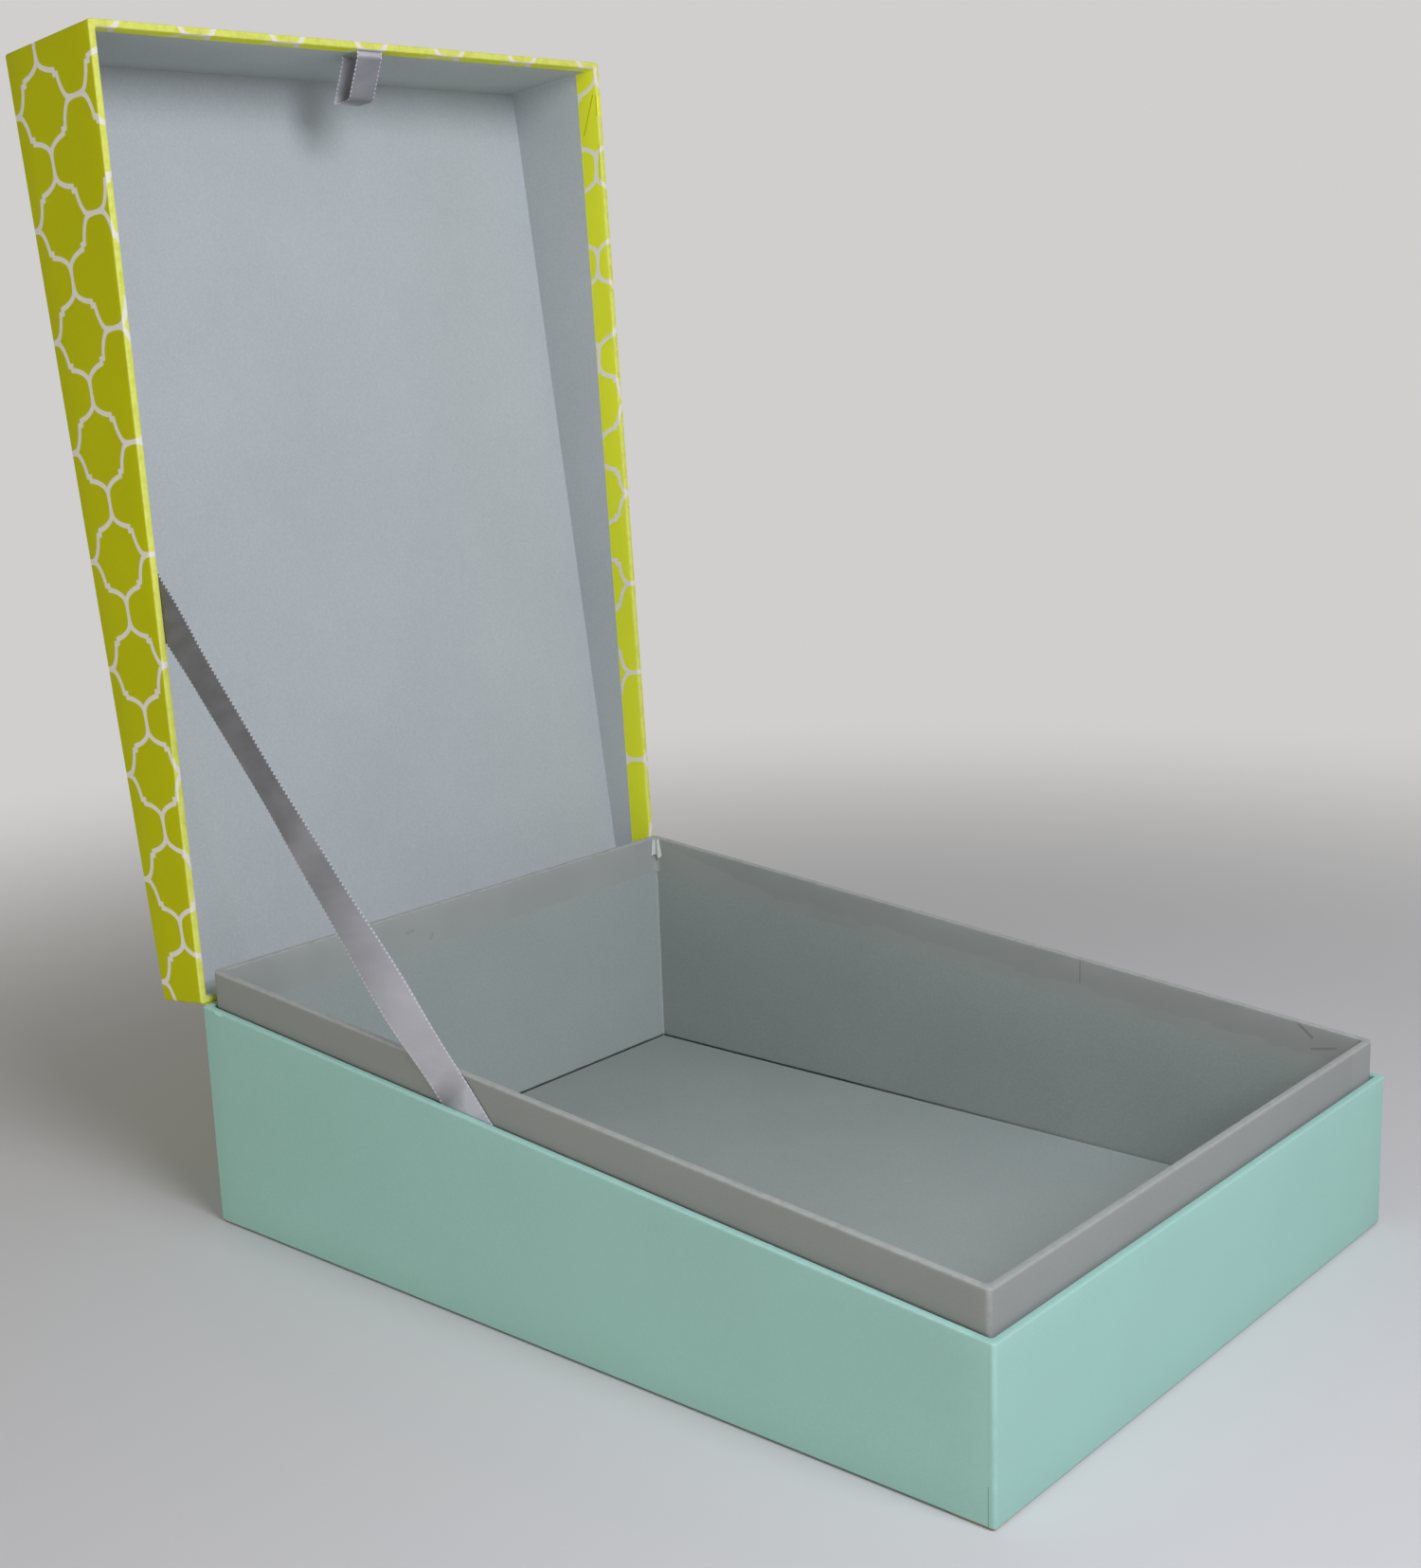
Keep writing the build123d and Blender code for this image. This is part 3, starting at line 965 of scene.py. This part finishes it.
def strip(name, cuts, width_cuts):
    """A flat strip one long and one wide, in so many parts along and across."""
    nothing_selected()
    bpy.ops.mesh.primitive_plane_add(size=1.0, location=(0.5, 0, 0))
    piece = bpy.context.active_object
    piece.name = name
    piece.data.name = name
    placed(piece)
    editing(piece)
    for value in even(0.0, 1.0, 1.0 / cuts):
        cut_at((value, 0, 0), (1, 0, 0))
    for value in even(-0.5, 0.5, 1.0 / width_cuts):
        cut_at((0, value, 0), (0, 1, 0))
    bpy.ops.object.mode_set(mode="OBJECT")
    return piece


def ribbon_coordinates(piece, length):
    """Give a strip its run in metres and its share of the width."""
    layer = piece.data.uv_layers.new(name="ribbon")
    for loop in piece.data.loops:
        point = piece.data.vertices[loop.vertex_index].co
        layer.data[loop.index].uv = (point.x * length, point.y)


def give_painted_highlight(piece, painted_highlight_shares):
    """Give a strip its painted highlight and shade, from 0 dull to 1 bright, vertex by vertex."""
    layer = piece.data.attributes.new("painted_highlight", "FLOAT", "POINT")
    for item, share in zip(layer.data, painted_highlight_shares):
        item.value = share


def between(places, value):
    """Read a table of place and value pairs, smoothly."""
    for (x0, y0), (x1, y1) in zip(places, places[1:]):
        if value <= x1:
            share = max(0.0, min(1.0, (value - x0) / (x1 - x0)))
            share = share * share * (3 - 2 * share)
            return y0 + (y1 - y0) * share
    return places[-1][1]


class DOCBOX_OT_ribbon_stay(bpy.types.Operator):
    """Satin ribbon that stops the lid"""
    bl_idname = "docbox.ribbon_stay"
    bl_label = "Ribbon stay"

    def execute(self, context):
        size = sizes()
        # Length of each glued tail, how far from the hinge it leaves each rim, and its gap to the wall
        tail, base_reach, lid_reach, gap = 0.020, 0.132, 0.139, 0.00035
        slope = atan((size.hinge_height - size.front_height) / size.length)
        angle = size.open_angle - slope
        hinge = hinge_point()
        base_end = Vector((-size.length / 2 + base_reach, 0,
                           size.hinge_height - base_reach * sin(slope)))
        lid_end = Vector((hinge.x + lid_reach * cos(angle), 0, hinge.z + lid_reach * sin(angle)))
        along = (lid_end - base_end).normalized()
        across = Vector((along.z, 0, -along.x))
        length = (lid_end - base_end).length + 2 * tail
        start = base_end - along * tail
        start.y = -size.width / 2 + size.wall + gap
        piece = strip("ribbon_stay_satin", cuts=90, width_cuts=10)
        ribbon_coordinates(piece, length)
        # Place along the ribbon in metres, and how far it is twisted and sags there
        twist = [(0.0, 0.0), (0.036, 0.0), (0.066, radians(9)), (0.110, radians(-2)),
                 (0.150, radians(-9)), (0.195, radians(-7)), (0.222, 0.0), (length, 0.0)]
        sag = [(0.0, 0.0), (0.024, 0.0), (0.060, 0.0013), (0.100, 0.0011), (0.180, 0.0004),
               (0.226, 0.0), (length, 0.0)]
        # Place along the ribbon and how bright its painted highlight is there
        painted_highlight_by_run = [(0.0, 0.8), (0.026, 0.95), (0.045, 0.9), (0.090, 0.55), (0.112, 0.32),
                 (0.124, 0.42), (0.136, 0.18), (0.160, 0.11), (0.200, 0.05), (length, 0.0)]
        # Where it goes down behind the rim it is pinched: painted shade there, and a painted highlight
        # on a tip on one side
        painted_highlight_shares = []
        for vertex in piece.data.vertices:
            run = vertex.co.x * length
            side = 2 * vertex.co.y
            pinch_painted_shade = max(0.0, 1 - abs(run - 0.0275) / 0.008)
            painted_tip_highlight = max(0.0, 1 - abs(run - 0.0215) / 0.0045) * max(0.0, side)
            painted_highlight_shares.append(between(painted_highlight_by_run, run) + pinch_painted_shade * (0.45 * side - 0.5) + painted_tip_highlight)
            # Between its two glued ends it is free to cup a little
            free = min(1.0, max(0.0, min(run - 0.034, length - 0.030 - run) / 0.030))
            cup = 0.0005 * free * (1 - side ** 2)
            out = vertex.co.y * size.stay_width
            turn = between(twist, run)
            vertex.co = (start + along * run + across * (out * cos(turn) - between(sag, run))
                         + Vector((0, out * sin(turn) - cup, 0)))
        give_painted_highlight(piece, painted_highlight_shares)
        thickened(piece, size.ribbon)
        smoothed(piece, angle=60)
        dressed(piece, made_once("grey satin", satin), None, "satin_ribbon", "ribbon_stay")
        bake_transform(piece)
        return {"FINISHED"}


def rounded_route(points, radius, steps):
    """Points along straight runs joined by round bends."""
    route = [Vector(points[0])]
    for before, corner, after in zip(points, points[1:], points[2:]):
        corner = Vector(corner)
        first = (Vector(before) - corner).normalized()
        last = (Vector(after) - corner).normalized()
        for i in range(steps + 1):
            share = i / steps
            entry = corner + first * radius * (1 - share)
            leave = corner + last * radius * share
            route.append(entry.lerp(leave, share))
    route.append(Vector(points[-1]))
    return route


class DOCBOX_OT_pull_tab(bpy.types.Operator):
    """Satin ribbon loop that the lid is lifted by"""
    bl_idname = "docbox.pull_tab"
    bl_label = "Pull tab"

    def execute(self, context):
        size = sizes()
        wall_x = size.length / 2 - size.wall
        # Heights of the two legs at the wall, how far they lean and how far out the fold is
        first = size.front_height + size.rim_gap + 0.0019
        second = first + 0.009
        lean = 0.0085
        end = wall_x - 0.016
        # How far along the box the ends are glued to the wall's lining, and where they bend
        glued, bend = wall_x - 0.0002, wall_x - 0.0017
        corners = [(glued, 0, first), (bend, 0, first), (end, 0, first + lean),
                   (end, 0, second + lean), (bend, 0, second), (glued, 0, second)]
        route = rounded_route(corners, radius=0.0012, steps=5)
        runs = [0.0]
        for a, b in zip(route, route[1:]):
            runs.append(runs[-1] + (b - a).length)
        length = runs[-1]
        piece = strip("pull_tab_satin", cuts=60, width_cuts=8)
        ribbon_coordinates(piece, length)
        # Painted highlights on the top bend and on the lower fold, the fold mostly at its near edge,
        # and painted light on the back leg, which is made lighter than the front one
        top, bottom = runs[3], runs[len(runs) // 2]
        painted_highlight_shares = []
        for vertex in piece.data.vertices:
            run = vertex.co.x * length
            top_painted_highlight = max(0.0, 1 - abs(run - top) / 0.0012)
            fold_painted_highlight = max(0.0, 1 - abs(run - bottom) / 0.0050)
            back = 0.3 if run > bottom else 0.0
            painted_highlight_shares.append(0.26 + back + 0.74 * top_painted_highlight + fold_painted_highlight * (0.6 - 0.9 * vertex.co.y))
            index = max(i for i, value in enumerate(runs) if value <= run + 1e-9)
            index = min(index, len(route) - 2)
            share = (run - runs[index]) / max(1e-9, runs[index + 1] - runs[index])
            point = route[index].lerp(route[index + 1], share)
            vertex.co = Vector((point.x, vertex.co.y * size.tab_width, point.z))
        give_painted_highlight(piece, painted_highlight_shares)
        thickened(piece, size.ribbon)
        on_open_lid(piece, rim_up=False)
        smoothed(piece, angle=60)
        dressed(piece, made_once("grey satin", satin), "lid", "satin_ribbon", "pull_tab")
        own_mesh(piece)
        return {"FINISHED"}


class DOCBOX_OT_floor_pad(bpy.types.Operator):
    """Covered floor pad with soft edges"""
    bl_idname = "docbox.floor_pad"
    bl_label = "Floor pad"

    def execute(self, context):
        piece = block("floor_pad_paper", PAD_LOW, PAD_HIGH)
        editing(piece)
        pick(piece, "EDGE", lambda e: min(v.co.z for v in e.verts) > PAD_HIGH[2] - 1e-6)
        bpy.ops.mesh.bevel(offset=0.0005, segments=3, affect="EDGES")
        bpy.ops.object.mode_set(mode="OBJECT")
        smoothed(piece)
        dressed(piece, made_once("green grey lining paper", lining_paper, colours().base_lining),
                "base", "green_grey_lining", "floor_pad_cover")
        return {"FINISHED"}


class DOCBOX_OT_corner_tuck(bpy.types.Operator):
    """Small folded bit of neck paper in the far hinge corner"""
    bl_idname = "docbox.corner_tuck"
    bl_label = "Corner tuck"

    def execute(self, context):
        size = sizes()
        inset = size.neck_inset + size.neck_wall
        corner_x = -size.length / 2 + inset
        corner_y = size.width / 2 - inset
        top = rim_height(neck_rim(), corner_x) - 0.0006
        piece = strip("corner_tuck", cuts=8, width_cuts=8)
        # Share across, and how far out from the hinge wall and from the far wall
        from_hinge = [(-0.5, 0.0003), (-0.25, 0.0013), (0.0, 0.0009), (0.25, 0.0020), (0.5, 0.0030)]
        from_far = [(-0.5, 0.0030), (-0.25, 0.0019), (0.0, 0.0009), (0.25, 0.0013), (0.5, 0.0003)]
        for vertex in piece.data.vertices:
            down, side = vertex.co.x, vertex.co.y
            flare = 0.75 + 0.45 * down
            height = 0.0072 + 0.0009 * sin(side * 2 * pi)
            vertex.co = Vector((corner_x + between(from_hinge, side) * flare,
                                corner_y - between(from_far, side) * flare, top - down * height))
        thickened(piece, size.ribbon)
        smoothed(piece, angle=60)
        dressed(piece, made_once("folded neck paper", raw_board, tinted(colours().neck_inside, 1.5)),
                "base", "grey_paper")
        return {"FINISHED"}


class DOCBOX_OT_hinge_strip(bpy.types.Operator):
    """Lime paper hinge on the back"""
    bl_idname = "docbox.hinge_strip"
    bl_label = "Hinge strip"

    def execute(self, context):
        size = sizes()
        # Height of each leaf, and the strip's width, a little less than the box's
        leaf = 0.020
        wide = size.width - 2 * 0.0015
        face = -size.length / 2 - size.paper
        outer = swing() @ Vector((face, 0, size.hinge_height + size.rim_gap))
        corners = [Vector((face, 0, size.hinge_height - leaf)), Vector((face, 0, size.hinge_height)),
                   outer, outer + swing().to_3x3() @ Vector((0, 0, leaf))]
        piece = strip("hinge_strip", cuts=3, width_cuts=24)
        # Runs on the lid's flat sheet, so that the trellis goes on over the hinge
        runs = [rim_run() - size.rim_gap - leaf, rim_run() - size.rim_gap, rim_run(), rim_run() + leaf]
        layer = piece.data.uv_layers.new(name="sheet")
        for loop in piece.data.loops:
            point = piece.data.vertices[loop.vertex_index].co
            layer.data[loop.index].uv = (runs[round(point.x * 3)], point.y * wide)
        for vertex in piece.data.vertices:
            corner = corners[round(vertex.co.x * 3)]
            vertex.co = Vector((corner.x, vertex.co.y * wide, corner.z))
        # A little thinner than the other papers, so that it stays inside the solid leaves
        thickened(piece, size.paper * 0.9)
        dressed(piece, made_once("lime hinge paper", lid_paper, False), None, "lime_paper",
                "hinge_base_leaf", "hinge_lid_leaf")
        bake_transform(piece)
        return {"FINISHED"}


class DOCBOX_PT_panel(bpy.types.Panel):
    """Pieces of the document box, with their sizes and colours"""
    bl_idname = "DOCBOX_PT_panel"
    bl_label = "Document Box"
    bl_space_type = "VIEW_3D"
    bl_region_type = "UI"
    bl_category = "Document Box"

    def draw(self, context):
        for operator in OPERATORS:
            self.layout.operator(operator.bl_idname)
        for group in (sizes(), colours()):
            box = self.layout.box()
            for name in group.bl_rna.properties.keys():
                if name not in ("rna_type", "name"):
                    box.prop(group, name)


OPERATORS = (DOCBOX_OT_stage, DOCBOX_OT_finishes, DOCBOX_OT_base_covering, DOCBOX_OT_neck_covering,
             DOCBOX_OT_lid_covering, DOCBOX_OT_floor_pad, DOCBOX_OT_corner_tuck,
             DOCBOX_OT_hinge_strip, DOCBOX_OT_ribbon_stay, DOCBOX_OT_pull_tab)
CLASSES = (DocumentBoxSizes, DocumentBoxColours, *OPERATORS, DOCBOX_PT_panel)


def register():
    """Register the classes and the two groups of settings."""
    for item in CLASSES:
        bpy.utils.register_class(item)
    bpy.types.Scene.document_box_sizes = PointerProperty(type=DocumentBoxSizes)
    bpy.types.Scene.document_box_colours = PointerProperty(type=DocumentBoxColours)


def unregister():
    """Take them back."""
    del bpy.types.Scene.document_box_colours
    del bpy.types.Scene.document_box_sizes
    for item in reversed(CLASSES):
        bpy.utils.unregister_class(item)


def main():
    """Make every piece in order."""
    register()
    bpy.ops.docbox.stage()
    bpy.ops.docbox.finishes()
    bpy.ops.docbox.base_covering()
    bpy.ops.docbox.neck_covering()
    bpy.ops.docbox.lid_covering()
    bpy.ops.docbox.floor_pad()
    bpy.ops.docbox.corner_tuck()
    bpy.ops.docbox.hinge_strip()
    bpy.ops.docbox.ribbon_stay()
    bpy.ops.docbox.pull_tab()


if __name__ == "__main__":
    main()
